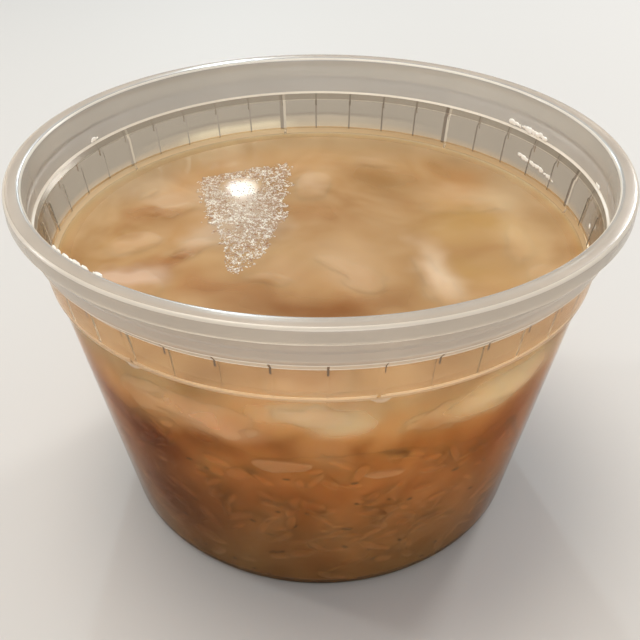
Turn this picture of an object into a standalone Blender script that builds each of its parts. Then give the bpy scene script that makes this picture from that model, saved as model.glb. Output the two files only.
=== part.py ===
"""Chicken and rice soup in a round see-through food tub.

The tub is one moulding: a rolled rim with a hanging skirt, a stepped wall with a
stacking band, eight lugs under the shoulder, and a tapered body on a flat foot ring.
Swollen rice has settled in its lower half.  Pieces of chicken breast lie on the rice,
three pressed against the wall and three reaching the top of the broth, and the broth
fills the rest up to the shoulder.

Metres, +Z up.  The origin is the middle of the foot, and the front is towards -Y.
"""

import math

import bmesh
import bpy
from mathutils import Matrix, Vector, noise

MM = 0.001

# Driving dimensions, in millimetres.
HEIGHT = 75.5           # foot to top of rim
RIM_RADIUS = 58.5       # outside of the skirt
WALL = 0.75             # thickness of the moulded wall
SKIRT_DROP = 3.0        # rim top to lower edge of the skirt
LID_BEAD_DROP = 5.6     # rim top to the low bead that a lid snaps over
LEDGE_DROP = 8.7        # rim top to the ledge where a lid would sit
BAND_TOP_DROP = 10.2    # rim top to the top of the stacking band
SHOULDER_DROP = 17.3    # rim top to the lower edge of the band
WALL_TOP_RADIUS = 56.0  # outside of the wall, just under the rim
LEDGE_RADIUS = 55.65
BAND_TOP_RADIUS = 54.5
SHOULDER_RADIUS = 53.5
BODY_TOP_RADIUS = 52.65
BODY_FOOT_RADIUS = 43.8
FOOT_RING_INNER = 36.5
BASE_RECESS = 0.9       # how far the middle of the base is raised
SOUP_LEVEL = 57.3       # foot to the top of the broth
GAP = 0.3               # clearance between neighbouring pieces

# Roundings and small steps of the moulding.
RIM_ROUNDING = 0.7
RIM_INNER_ROUNDING = 0.8
FOOT_ROUNDING = 4.0
UNDER_RIM_BEVEL = 0.35
SHOULDER_BEVEL = 0.5
STEP_BEVEL = 0.3
RECESS_SLOPE = 1.0
LID_BEAD = (0.25, 0.85)     # how far it stands out, and half its width

TURN_STEPS = 60
RIB_EVERY = 9.0         # degrees from rib to rib
RIB_START = 10.5        # degrees from the front to the first wide rib
RIBS_PER_LUG = 5        # each fifth rib is a wide one with a lug under it
WIDE_RIB = 1.4
NARROW_RIB = 0.5
RIB_DEPTH = 0.5
LUG_SIZE = (3.6, 1.5, 2.2)  # along the shoulder, outwards and upwards

RICE_HEIGHT = 41.0      # foot to the top of the settled rice, on average
RICE_WAVE = (26.0, 3.0)     # length and height of its slow waves
RICE_GRAIN = (6.5, 1.3)     # length and height of the bumps the grains make
RICE_CELL = 3.3
RICE_CLEARANCE = 0.4
# Mounds and hollows of the rice: x, y, radius and rise.
RICE_MOUNDS = (
    (-22.0, -42.0, 13.0, 3.6),      # the left piece of chicken is bedded in this one
    (3.0, -46.0, 11.0, 3.2),
    (34.0, -34.0, 16.0, -2.4),
    (8.0, 12.0, 20.0, 2.4),
    (-34.0, 22.0, 15.0, -2.0),
)

# Chicken pieces: centre, then length, depth and height, heading and tilt in degrees,
# and how much the left end is pinched.  Headings turn from +X towards +Y.
CHICKEN = {
    "chicken_wall_left": ((-22.4, -42.0, 48.4), (33.0, 17.0, 13.0), -28.0, -2.0, 0.2),
    "chicken_wall_middle": ((-1.2, -44.8, 53.4), (19.0, 19.0, 8.4), -1.0, 8.0, 0.1),
    "chicken_wall_right": ((27.4, -37.2, 49.6), (41.0, 18.0, 12.4), 36.0, -3.0, 0.3),
    "chicken_top_left": ((-37.6, -15.6, 53.9), (19.0, 12.0, 8.4), -32.0, 3.0, 0.3),
    "chicken_top_far_left": ((-38.6, -1.6, 54.4), (16.0, 9.0, 7.2), 28.0, 4.0, 0.5),
    "chicken_top_back": ((-1.4, 25.4, 54.0), (17.0, 10.0, 8.0), 84.0, -4.0, 0.1),
}
BLUNTNESS = 0.72        # power that squares off a ball; 1 leaves it round
FOLD = (7.0, 0.16)      # size of the soft folds, and their share of the thickness
STRAND = (22.0, 3.5, 0.7)   # length, width and height of the meat's strands

BODY_SLOPE = (BODY_TOP_RADIUS - BODY_FOOT_RADIUS) / (SOUP_LEVEL - FOOT_ROUNDING)


def arc(centre_r, centre_z, radius, start, end, parts):
    """Points of a round stretch of an outline, angles in degrees from +X."""
    angles = [start + (end - start) * i / parts for i in range(parts + 1)]
    return [(centre_r + radius * math.cos(math.radians(a)),
             centre_z + radius * math.sin(math.radians(a))) for a in angles]


def body_radius(z, inset=0.0):
    """Outside radius of the tapered body at height z, less an inset."""
    return BODY_FOOT_RADIUS + BODY_SLOPE * (z - FOOT_ROUNDING) - inset


def foot_corner(inset, parts):
    """The rounded lower corner of the body, from the wall down to the foot."""
    taper = -math.degrees(math.atan(BODY_SLOPE))
    corner_r = BODY_FOOT_RADIUS - FOOT_ROUNDING
    return arc(corner_r, FOOT_ROUNDING, FOOT_ROUNDING - inset, taper, -90.0, parts)


def tub_outline():
    """Inside from the centre of the base to the rim, then down the outside."""
    ledge = HEIGHT - LEDGE_DROP
    band_top = HEIGHT - BAND_TOP_DROP
    shoulder = HEIGHT - SHOULDER_DROP
    skirt_foot = HEIGHT - SKIRT_DROP
    under_rim = HEIGHT - WALL
    bead = HEIGHT - LID_BEAD_DROP
    bead_out, bead_half = LID_BEAD
    skirt_inner = RIM_RADIUS - WALL
    floor = BASE_RECESS + WALL

    inside = [(0.0, floor), (FOOT_RING_INNER - RECESS_SLOPE, floor)]
    inside += [(FOOT_RING_INNER + STEP_BEVEL, WALL)]
    inside += list(reversed(foot_corner(WALL, 3)))
    inside += [(body_radius(SOUP_LEVEL, WALL), SOUP_LEVEL),
               (SHOULDER_RADIUS - WALL, shoulder + STEP_BEVEL),
               (BAND_TOP_RADIUS - WALL, band_top - STEP_BEVEL),
               (LEDGE_RADIUS - WALL, ledge + STEP_BEVEL)]
    inside += arc(WALL_TOP_RADIUS - WALL + RIM_INNER_ROUNDING,
                  HEIGHT - RIM_INNER_ROUNDING, RIM_INNER_ROUNDING, 180.0, 90.0, 2)

    outside = arc(RIM_RADIUS - RIM_ROUNDING, HEIGHT - RIM_ROUNDING, RIM_ROUNDING,
                  90.0, 0.0, 3)
    outside += [(RIM_RADIUS, skirt_foot), (skirt_inner, skirt_foot),
                (skirt_inner, under_rim - UNDER_RIM_BEVEL),
                (skirt_inner - UNDER_RIM_BEVEL, under_rim),
                (WALL_TOP_RADIUS + UNDER_RIM_BEVEL, under_rim),
                (WALL_TOP_RADIUS, under_rim - UNDER_RIM_BEVEL),
                (WALL_TOP_RADIUS, bead + bead_half),
                (WALL_TOP_RADIUS + bead_out, bead),
                ((WALL_TOP_RADIUS + LEDGE_RADIUS) / 2.0, bead - bead_half),
                (LEDGE_RADIUS, ledge),
                (BAND_TOP_RADIUS, band_top),
                (SHOULDER_RADIUS, shoulder),
                (body_radius(shoulder - SHOULDER_BEVEL), shoulder - SHOULDER_BEVEL)]
    outside += foot_corner(0.0, 4)
    outside += [(FOOT_RING_INNER, 0.0), (FOOT_RING_INNER - RECESS_SLOPE, BASE_RECESS),
                (0.0, BASE_RECESS)]
    return inside + outside


def inside_outline(top):
    """The space inside the tub up to a height, a gap clear of the wall and base."""
    inset = WALL + GAP
    floor = BASE_RECESS + inset
    corner = [point for point in foot_corner(inset, 4) if point[1] > floor]
    floor_edge = (BODY_FOOT_RADIUS - FOOT_ROUNDING + inset, floor)
    wall_top = (body_radius(top, inset), top)
    return [(0.0, top), wall_top] + corner + [floor_edge, (0.0, floor)]


def material(name, colour, roughness, alpha=1.0):
    made = bpy.data.materials.new(name)
    made.use_nodes = True
    shader = made.node_tree.nodes["Principled BSDF"]
    shader.inputs["Base Color"].default_value = (*colour, 1.0)
    shader.inputs["Roughness"].default_value = roughness
    shader.inputs["Metallic"].default_value = 0.0
    shader.inputs["Alpha"].default_value = alpha
    return made


def add_object(name, mesh, collection, finish=None):
    made = bpy.data.objects.new(name, mesh)
    collection.objects.link(made)
    if finish:
        mesh.materials.append(finish)
    return made


def turned(name, outline, collection, finish=None):
    """A turned shape: an outline in millimetres, swept round the Z axis."""
    mesh = bpy.data.meshes.new(name)
    points = [(r * MM, 0.0, z * MM) for r, z in outline]
    mesh.from_pydata(points, [(i, i + 1) for i in range(len(points) - 1)], [])
    made = add_object(name, mesh, collection, finish)
    screw = made.modifiers.new("turn", "SCREW")
    screw.steps = TURN_STEPS
    screw.render_steps = TURN_STEPS
    screw.use_merge_vertices = True
    screw.merge_threshold = 0.000001
    return made


def hide_cutter(cutter):
    cutter.hide_render = True
    cutter.display_type = "WIRE"


def boolean(target, cutter, operation):
    change = target.modifiers.new(operation.lower() + "_" + cutter.name, "BOOLEAN")
    change.operation = operation
    change.solver = "EXACT"
    change.object = cutter


def around(angle):
    """Turn about Z that takes the front (-Y) to an angle, measured towards +X."""
    return Matrix.Rotation(math.radians(angle), 4, "Z")


def tub_ribs(collection):
    """Upright ribs inside the stacking band, each fifth one wide."""
    band_top = HEIGHT - BAND_TOP_DROP
    shoulder = HEIGHT - SHOULDER_DROP
    tall = band_top - shoulder - 2.0 * STEP_BEVEL
    lean = math.atan((BAND_TOP_RADIUS - SHOULDER_RADIUS) / (band_top - shoulder))
    middle_r = (BAND_TOP_RADIUS + SHOULDER_RADIUS) / 2.0 - WALL
    middle_z = (band_top + shoulder) / 2.0
    shape = bmesh.new()
    for index in range(int(360.0 / RIB_EVERY)):
        wide = index % RIBS_PER_LUG == 0
        width = WIDE_RIB if wide else NARROW_RIB
        place = around(RIB_START + RIB_EVERY * index)
        place = place @ Matrix.Translation((0.0, -middle_r * MM, middle_z * MM))
        place = place @ Matrix.Rotation(lean, 4, "X")
        place = place @ Matrix.Diagonal((width * MM, 2.0 * RIB_DEPTH * MM, tall * MM, 1.0))
        bmesh.ops.create_cube(shape, size=1.0, matrix=place)
    mesh = bpy.data.meshes.new("tub_ribs")
    shape.to_mesh(mesh)
    shape.free()
    return add_object("tub_ribs", mesh, collection)


def tub_lugs(collection):
    """Small rounded lugs under the shoulder, one below each wide rib."""
    shape = bmesh.new()
    long, deep, tall = LUG_SIZE
    for index in range(int(360.0 / RIB_EVERY / RIBS_PER_LUG)):
        place = around(RIB_START + RIB_EVERY * RIBS_PER_LUG * index)
        shoulder = HEIGHT - SHOULDER_DROP
        place = place @ Matrix.Translation((0.0, -BODY_TOP_RADIUS * MM, shoulder * MM))
        place = place @ Matrix.Diagonal((long * MM, deep * MM, tall * MM, 1.0))
        bmesh.ops.create_uvsphere(shape, u_segments=6, v_segments=4, radius=0.5, matrix=place)
    mesh = bpy.data.meshes.new("tub_lugs")
    shape.to_mesh(mesh)
    shape.free()
    return add_object("tub_lugs", mesh, collection)


def build_tub(parts, cutters):
    plastic = material("clear_plastic", (0.62, 0.58, 0.50), 0.25, 0.35)
    tub = turned("tub", tub_outline(), parts, plastic)
    for extra in (tub_ribs(cutters), tub_lugs(cutters)):
        hide_cutter(extra)
        boolean(tub, extra, "UNION")
    lug_core = turned("lug_trim", inside_of_lugs(), cutters)
    hide_cutter(lug_core)
    boolean(tub, lug_core, "DIFFERENCE")
    return tub


def inside_of_lugs():
    """What the lugs would leave inside the tub, level with the smooth body wall."""
    top = HEIGHT - SHOULDER_DROP
    foot = top - LUG_SIZE[2]
    return [(0.0, top), (body_radius(top, WALL), top), (body_radius(foot, WALL), foot),
            (0.0, foot)]


def rice_surface(x, y):
    """Height of the settled rice, with mounds, slow waves and grain-sized bumps."""
    height = RICE_HEIGHT
    for mound_x, mound_y, radius, rise in RICE_MOUNDS:
        away = math.hypot(x - mound_x, y - mound_y) / radius
        height += rise * math.exp(-away * away)
    for length, high in (RICE_WAVE, RICE_GRAIN):
        height += high * noise.noise(Vector((x / length, y / length, length)))
    return height


def rice_block(name, collection, rise):
    """A block under the rice surface, wider than the tub, lifted by a clearance."""
    reach = RIM_RADIUS
    cells = round(2.0 * reach / RICE_CELL)
    shape = bmesh.new()
    bmesh.ops.create_grid(shape, x_segments=cells, y_segments=cells, size=reach * MM)
    top_verts = list(shape.verts)
    wall = bmesh.ops.extrude_face_region(shape, geom=list(shape.faces))
    lifted = [v for v in wall["geom"] if isinstance(v, bmesh.types.BMVert)]
    for vert in lifted:
        vert.co.z = (rice_surface(vert.co.x / MM, vert.co.y / MM) + rise) * MM
    for vert in top_verts:
        vert.co.z = -5.0 * MM
    bmesh.ops.recalc_face_normals(shape, faces=list(shape.faces))
    bmesh.ops.triangulate(shape, faces=list(shape.faces))
    mesh = bpy.data.meshes.new(name)
    shape.to_mesh(mesh)
    shape.free()
    made = add_object(name, mesh, collection)
    hide_cutter(made)
    return made


def chicken_shape(name, pinch):
    """A lump of cooked breast: an oval with blunt ends, soft folds and a pinched end."""
    shape = bmesh.new()
    bmesh.ops.create_uvsphere(shape, u_segments=14, v_segments=9, radius=1.0)
    centre, size, _, _, _ = CHICKEN[name]
    half = [side / 2.0 for side in size]
    fold_long, fold_deep = FOLD
    strand_long, strand_wide, strand_high = STRAND
    for vert in shape.verts:
        along, across, up = vert.co
        blunt = [math.copysign(abs(c) ** BLUNTNESS, c) for c in (along, across, up)]
        narrow = 1.0 - pinch * max(0.0, -blunt[0])
        point = Vector((blunt[0] * half[0], blunt[1] * half[1] * narrow,
                        blunt[2] * half[2] * narrow))
        fold = noise.noise(point / fold_long + Vector(centre))
        strand = noise.noise(Vector((point.x / strand_long, point.y / strand_wide,
                                     point.z / strand_wide)))
        point *= 1.0 + fold_deep * (fold - 0.5)
        point += vert.co.normalized() * strand_high * strand
        vert.co = point * MM
    bmesh.ops.triangulate(shape, faces=list(shape.faces))
    mesh = bpy.data.meshes.new(name)
    shape.to_mesh(mesh)
    shape.free()
    return mesh


def lay_chicken(made, name):
    centre, _, heading, tilt, _ = CHICKEN[name]
    made.location = Vector(centre) * MM
    made.rotation_euler = (0.0, math.radians(tilt), math.radians(heading))


def build_contents(parts, cutters):
    meat = material("cooked_chicken", (0.72, 0.50, 0.32), 0.5)
    rice = material("swollen_rice", (0.55, 0.33, 0.17), 0.55)
    liquid = material("cloudy_broth", (0.60, 0.36, 0.16), 0.15, 0.6)

    rice_limit = rice_block("rice_limit", cutters, 0.0)
    rice_space = rice_block("rice_space", cutters, RICE_CLEARANCE)
    tub_space = turned("tub_space", inside_outline(SOUP_LEVEL + 3.0), cutters)
    hide_cutter(tub_space)

    rice_bed = turned("rice_bed", inside_outline(SOUP_LEVEL), parts, rice)
    boolean(rice_bed, rice_limit, "INTERSECT")

    broth = turned("broth", inside_outline(SOUP_LEVEL), parts, liquid)
    boolean(broth, rice_space, "DIFFERENCE")

    for name, (_, _, _, _, pinch) in CHICKEN.items():
        piece = add_object(name, chicken_shape(name, pinch), parts, meat)
        lay_chicken(piece, name)
        boolean(piece, tub_space, "INTERSECT")
        boolean(piece, rice_space, "DIFFERENCE")
        pocket = add_object(name + "_pocket", chicken_shape(name, pinch), cutters)
        lay_chicken(pocket, name)
        swell = pocket.modifiers.new("clearance", "DISPLACE")
        swell.mid_level = 0.0
        swell.strength = GAP * MM
        hide_cutter(pocket)
        boolean(broth, pocket, "DIFFERENCE")


def main():
    for existing in list(bpy.data.objects):
        bpy.data.objects.remove(existing, do_unlink=True)
    parts = bpy.data.collections.new("chicken_rice_soup")
    cutters = bpy.data.collections.new("cutters")
    for group in (parts, cutters):
        bpy.context.scene.collection.children.link(group)
    build_tub(parts, cutters)
    build_contents(parts, cutters)


main()
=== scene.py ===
import math
import random

import bpy
from mathutils import Matrix, Vector, noise
from mathutils.bvhtree import BVHTree


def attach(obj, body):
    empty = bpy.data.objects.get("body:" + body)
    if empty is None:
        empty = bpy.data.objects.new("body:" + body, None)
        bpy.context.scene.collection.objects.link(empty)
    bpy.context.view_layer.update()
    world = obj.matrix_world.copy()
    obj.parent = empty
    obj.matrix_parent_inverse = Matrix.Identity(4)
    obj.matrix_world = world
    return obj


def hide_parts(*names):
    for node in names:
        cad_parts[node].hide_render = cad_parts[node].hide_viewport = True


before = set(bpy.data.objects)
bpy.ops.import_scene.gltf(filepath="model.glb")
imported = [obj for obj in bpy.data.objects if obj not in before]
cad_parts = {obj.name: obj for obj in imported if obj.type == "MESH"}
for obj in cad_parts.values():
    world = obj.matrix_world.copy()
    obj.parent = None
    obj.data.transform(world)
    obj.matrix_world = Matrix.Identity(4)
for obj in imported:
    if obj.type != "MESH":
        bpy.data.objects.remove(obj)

MM = 0.001
scene = bpy.context.scene
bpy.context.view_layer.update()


# ---- Camera, floor and light -----------------------------------------------------
# The tub stands on a plain pale floor and is seen from its front, a little above the
# rim.  A wide softbox hangs over it, and one small lamp behind gives the white glare
# on the broth.
CAMERA_PLACE = (0.00081, -0.15172, 0.14236)     # metres
CAMERA_TURN = (54.953, 0.0, 0.344)              # degrees
CAMERA_LENS = 47.8
FLOOR_HALF = 3.0
TUB_TOP = (0.0, 0.0, 0.06)      # what the lamps are turned to
GLARE_WHITE = (226, 246, 255)   # a little blue, as the broth under the glare is orange


def paint(red, green, blue):
    """A screen colour, 0 to 255, as the linear colour that a shader takes."""
    parts = [c / 255.0 for c in (red, green, blue)]
    linear = [c / 12.92 if c <= 0.04045 else ((c + 0.055) / 1.055) ** 2.4 for c in parts]
    return (*linear, 1.0)


def wired(tree, node, inputs):
    """Sets or links a node's inputs, which are called by name or by number."""
    for key, value in inputs.items():
        if isinstance(value, bpy.types.NodeSocket):
            tree.links.new(value, node.inputs[key])
        else:
            node.inputs[key].default_value = value
    return node


def material(name, inputs):
    """A new material, with its node tree and its Principled shader."""
    made = bpy.data.materials.new(name)
    made.use_nodes = True
    tree = made.node_tree
    return made, tree, wired(tree, tree.nodes["Principled BSDF"], inputs)


def softbox(name, place, target, size, power, colour=(255, 255, 255)):
    """An oval lamp of a size in metres and a power in watts, turned to its target."""
    data = bpy.data.lights.new(name, "AREA")
    data.shape = "ELLIPSE"
    data.size, data.size_y = size
    data.energy = power
    data.color = paint(*colour)[:3]
    lamp = bpy.data.objects.new(name, data)
    lamp.location = place
    aim = Vector(target) - Vector(place)
    lamp.rotation_euler = aim.to_track_quat("-Z", "Y").to_euler()
    scene.collection.objects.link(lamp)


camera = bpy.data.objects.new("camera", bpy.data.cameras.new("camera"))
camera.location = CAMERA_PLACE
camera.rotation_euler = [math.radians(a) for a in CAMERA_TURN]
camera.data.lens = CAMERA_LENS
camera.data.sensor_width = 36.0
camera.data.clip_start = 0.01
scene.collection.objects.link(camera)
scene.camera = camera

scene.view_settings.view_transform = "Standard"
scene.cycles.transparent_max_bounces = 24
scene.cycles.sample_clamp_indirect = 4.0

world = bpy.data.worlds.new("studio")
world.use_nodes = True
wired(world.node_tree, world.node_tree.nodes["Background"],
      {"Color": paint(236, 238, 242), "Strength": 0.46})
scene.world = world

softbox("overhead", (-0.12, 0.10, 0.75), TUB_TOP, (0.5, 0.4), 2.8, (255, 247, 236))
softbox("left_window", (-0.70, 0.19, 0.32), TUB_TOP, (0.07, 0.06), 0.9)
softbox("back_right", (0.42, 0.55, 0.40), TUB_TOP, (0.16, 0.10), 1.4)
softbox("front_fill", (0.15, -0.95, 0.30), TUB_TOP, (0.7, 0.5), 2.6)
softbox("glare_lamp", (-0.104, 0.826, 0.455), TUB_TOP, (0.040, 0.015), 1.1, GLARE_WHITE)

floor_mesh = bpy.data.meshes.new("floor")
floor_corners = [(x * FLOOR_HALF, y * FLOOR_HALF, 0.0)
                 for x, y in ((-1, -1), (1, -1), (1, 1), (-1, 1))]
floor_mesh.from_pydata(floor_corners, [], [(0, 1, 2, 3)])
floor = bpy.data.objects.new("floor", floor_mesh)
scene.collection.objects.link(floor)
floor_look = {"Base Color": paint(220, 217, 212), "Roughness": 0.6}
floor_mesh.materials.append(material("pale_floor", floor_look)[0])


# ---- Tub -------------------------------------------------------------------------
# A thin moulded food tub of milky polypropylene: rolled rim with a hanging skirt, a
# ledge for the lid, a stacking band with upright ribs inside, small lugs under the
# shoulder and a tapered body on a foot ring.  It is one moulding, turned here finely.
HEIGHT = 75.5                   # this and all sizes below are in millimetres
RIM_RADIUS = 58.5
WALL = 0.75
SKIRT_FOOT = HEIGHT - 3.0
LID_BEAD = HEIGHT - 5.6
LEDGE = HEIGHT - 8.7
BAND_TOP = HEIGHT - 10.2
SHOULDER = HEIGHT - 17.3
WALL_TOP_RADIUS = 56.0
LEDGE_RADIUS = 55.65
BAND_TOP_RADIUS = 54.5
SHOULDER_RADIUS = 53.5
BODY_TOP_RADIUS = 52.65
BODY_FOOT_RADIUS = 43.8
FOOT_ROUNDING = 4.0
FOOT_RING = 36.5
BASE_RECESS = 0.9
SOUP_LEVEL = 57.3
BODY_SLOPE = (BODY_TOP_RADIUS - BODY_FOOT_RADIUS) / (SOUP_LEVEL - FOOT_ROUNDING)
BAND_SLOPE = (BAND_TOP_RADIUS - SHOULDER_RADIUS) / (BAND_TOP - SHOULDER)
RIB_EVERY = 9.0                 # degrees
RIB_START = 10.5
RIBS_PER_LUG = 5
RIB_WIDTHS = (0.36, 1.5)
RIB_DEPTH = 0.3
RIB_EDGE = 0.12                 # a rib's sides and ends slope over this much
RIB_END = 0.3                   # it stops this far from the band's two edges,
RIB_RISE = 0.05                 # and starts to rise this much further in
LUG = (3.6, 0.75, 2.2)          # length, how far it stands out, and height
COLUMN_STEP = 1.5               # degrees
WET_TOP = SOUP_LEVEL + 0.45     # the broth climbs the wall to here
WET_RADIUS = 52.35              # inside radius of the wall at that height


def metres(lengths):
    return [length * MM for length in lengths]


def body_radius(z, inset=0.0):
    return BODY_FOOT_RADIUS + BODY_SLOPE * (z - FOOT_ROUNDING) - inset


def rounded(corners, parts=5):
    """An outline through corners of (radius, height, fillet), each fillet as an arc."""
    points = [corners[0][:2]]
    for before, (r, z, fillet), after in zip(corners, corners[1:], corners[2:]):
        corner = Vector((r, z))
        if not fillet:
            points.append((r, z))
            continue
        back = Vector(before[:2]) - corner
        ahead = Vector(after[:2]) - corner
        half = back.angle(ahead) / 2.0
        reach = min(fillet / math.tan(half), 0.48 * back.length, 0.48 * ahead.length)
        radius = reach * math.tan(half)
        middle = (back.normalized() + ahead.normalized()).normalized()
        centre = corner + middle * radius / math.sin(half)
        start = corner + back.normalized() * reach - centre
        end = corner + ahead.normalized() * reach - centre
        for i in range(parts + 1):
            points.append(tuple(centre + start.slerp(end, i / parts) * radius))
    points.append(corners[-1][:2])
    return points


def mesh_object(name, points, faces, finish, slot):
    """A piece from points in millimetres that rides on the tub's one body."""
    mesh = bpy.data.meshes.new(name)
    mesh.from_pydata([Vector(p) * MM for p in points], [], faces)
    mesh.validate()
    mesh.shade_smooth()
    made = bpy.data.objects.new(name, mesh)
    scene.collection.objects.link(made)
    mesh.materials.append(finish)
    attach(made, "root")
    return made


def turned(outline, angles, shape=None):
    """Points and faces of an outline turned round the axis, shaped by a function."""
    points, faces, rings = [], [], []
    for r, z in outline:
        if r < 1e-6:
            rings.append([len(points)] * len(angles))
            points.append(Vector((0.0, 0.0, z)))
            continue
        rings.append([len(points) + i for i in range(len(angles))])
        for angle in angles:
            turn = math.radians(angle)
            points.append(Vector((r * math.sin(turn), -r * math.cos(turn), z)))
    if shape:
        points = [shape(point) for point in points]
    for lower, upper in zip(rings, rings[1:]):
        for i in range(len(angles)):
            j = (i + 1) % len(angles)
            corners = dict.fromkeys((lower[i], lower[j], upper[j], upper[i]))
            if len(corners) > 2:
                faces.append(tuple(corners))
    return points, faces


def rib_angles():
    for index in range(int(360.0 / RIB_EVERY)):
        wide = index % RIBS_PER_LUG == 0
        yield (RIB_START + RIB_EVERY * index) % 360.0, wide


def tub_columns():
    """Angles of the mesh columns: an even step, and more at the ribs and lugs."""
    angles = {round(COLUMN_STEP * i, 3) for i in range(int(360.0 / COLUMN_STEP))}
    for middle, wide in rib_angles():
        half = RIB_WIDTHS[wide] / 2.0
        offsets = [half, half + RIB_EDGE] + ([0.1, 1.1, 1.4, 1.7] if wide else [])
        for offset in offsets:
            turn = math.degrees(offset / SHOULDER_RADIUS)
            angles |= {round((middle + s * turn) % 360.0, 3) for s in (-1, 1)}
    return sorted(angles)


def tub_outline():
    floor_top = BASE_RECESS + WALL
    inner_foot = body_radius(WALL, WALL)
    rib_foot = SHOULDER + RIB_END
    rib_top = BAND_TOP - RIB_END
    inner = [(0.0, floor_top, 0), (FOOT_RING - 1.0, floor_top, 0.5),
             (FOOT_RING + 0.3, WALL, 0.5), (inner_foot, WALL, FOOT_ROUNDING - WALL),
             (body_radius(SOUP_LEVEL, WALL), SOUP_LEVEL, 0.3),
             (WET_RADIUS, WET_TOP, 0), (SHOULDER_RADIUS - WALL, rib_foot, 0.25)]
    for up in (RIB_RISE, RIB_EDGE, RIB_EDGE * 2.0):
        inner.append((SHOULDER_RADIUS - WALL + BAND_SLOPE * up, rib_foot + up, 0))
    for down in (RIB_EDGE * 2.0, RIB_EDGE, RIB_RISE):
        inner.append((BAND_TOP_RADIUS - WALL - BAND_SLOPE * down, rib_top - down, 0))
    inner += [(BAND_TOP_RADIUS - WALL, rib_top, 0.25),
              (LEDGE_RADIUS - WALL - 0.45, LEDGE + 0.2, 0.2),
              (LEDGE_RADIUS - WALL, LEDGE + 0.35, 0.3),
              (WALL_TOP_RADIUS - WALL, HEIGHT, 0.8)]
    outer = [(RIM_RADIUS, HEIGHT, 0.7), (RIM_RADIUS, SKIRT_FOOT, 0.25),
             (RIM_RADIUS - WALL, SKIRT_FOOT, 0.25),
             (RIM_RADIUS - WALL, HEIGHT - WALL, 0.4),
             (WALL_TOP_RADIUS, HEIGHT - WALL, 0.4),
             (WALL_TOP_RADIUS, LID_BEAD + 0.85, 0.4),
             (WALL_TOP_RADIUS + 0.25, LID_BEAD, 0.5),
             ((WALL_TOP_RADIUS + LEDGE_RADIUS) / 2.0, LID_BEAD - 0.85, 0.4),
             (LEDGE_RADIUS, LEDGE, 0.35), (BAND_TOP_RADIUS, BAND_TOP, 0.35),
             (BAND_TOP_RADIUS - 1.4 * BAND_SLOPE, BAND_TOP - 1.4, 0),
             (SHOULDER_RADIUS + 0.06, SHOULDER + 0.4, 0), (SHOULDER_RADIUS, SHOULDER, 0.15),
             (body_radius(SHOULDER - 0.5), SHOULDER - 0.5, 0.15)]
    for down in (0.7, 0.9, 1.1, 1.4, 1.7, 2.0):
        outer.append((body_radius(SHOULDER - down), SHOULDER - down, 0))
    outer += [(body_radius(0.0), 0.0, FOOT_ROUNDING), (FOOT_RING, 0.0, 0.3),
              (FOOT_RING - 1.0, BASE_RECESS, 0.4), (0.0, BASE_RECESS, 0)]
    return list(reversed(rounded(inner + outer)))


def wall_radius(z):
    """Outer radius of the tub's wall at any height."""
    corners = ((0.0, body_radius(0.0)), (SHOULDER - 0.3, body_radius(SHOULDER - 0.3)),
               (SHOULDER, SHOULDER_RADIUS), (BAND_TOP, BAND_TOP_RADIUS),
               (LEDGE, LEDGE_RADIUS), (HEIGHT, WALL_TOP_RADIUS))
    for (low, start), (high, end) in zip(corners, corners[1:]):
        if z <= high:
            return start + (end - start) * (z - low) / (high - low)
    return WALL_TOP_RADIUS


def nearest_rib(point):
    """Way along the wall from the nearest rib's middle, and whether it is wide."""
    angle = math.degrees(math.atan2(point.x, -point.y)) % 360.0
    index = round((angle - RIB_START) / RIB_EVERY)
    away = math.radians(angle - RIB_START - RIB_EVERY * index)
    return away * math.hypot(point.x, point.y), index % RIBS_PER_LUG == 0


def mould_details(point):
    """Presses the ribs into the inside of the band and the lugs out below it."""
    r = math.hypot(point.x, point.y)
    z = point.z
    inner_band = SHOULDER_RADIUS - WALL + BAND_SLOPE * (z - SHOULDER)
    foot = SHOULDER + RIB_END + RIB_RISE
    top = BAND_TOP - RIB_END - RIB_RISE
    in_band = foot < z < top and r < inner_band + WALL / 2.0
    by_lug = SHOULDER - 1.6 < z < SHOULDER - 0.1 and r > body_radius(z) - 0.2
    if not (in_band or by_lug):
        return point
    away, wide = nearest_rib(point)
    out = 0.0
    if in_band:
        edge = (RIB_WIDTHS[wide] / 2.0 + RIB_EDGE - abs(away)) / RIB_EDGE
        ends = min(z - foot, top - z) / RIB_EDGE
        out = -RIB_DEPTH * max(0.0, min(1.0, edge, ends))
    elif wide:
        long, deep, tall = LUG
        ball = 1.0 - (away / (long / 2.0)) ** 2 - ((SHOULDER - z) / (tall / 1.6)) ** 2
        out = max(0.0, BODY_TOP_RADIUS + deep * math.sqrt(max(0.0, ball)) - r)
        out = out if ball > 0.0 else 0.0
    return Vector((point.x * (r + out) / r, point.y * (r + out) / r, z))


def add(tree, kind, inputs, **settings):
    """Adds a shader node, sets its properties, and sets or links its inputs."""
    node = tree.nodes.new("ShaderNode" + kind)
    for key, value in settings.items():
        setattr(node, key, value)
    return wired(tree, node, inputs)


def maths(tree, operation, *values, clamp=False):
    return add(tree, "Math", dict(enumerate(values)), operation=operation,
               use_clamp=clamp).outputs[0]


def times(tree, value, *shares):
    """A value multiplied by one share after another."""
    for share in shares:
        value = maths(tree, "MULTIPLY", value, share)
    return value


def vector_maths(tree, operation, *values):
    """Outputs of a vector sum: the Vector, and the Value where it gives a number."""
    return add(tree, "VectorMath", dict(enumerate(values)), operation=operation).outputs


def place_in(tree):
    return add(tree, "NewGeometry", {}).outputs["Position"]


def parts_of(tree, vector):
    return add(tree, "SeparateXYZ", {"Vector": vector}).outputs


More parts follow.
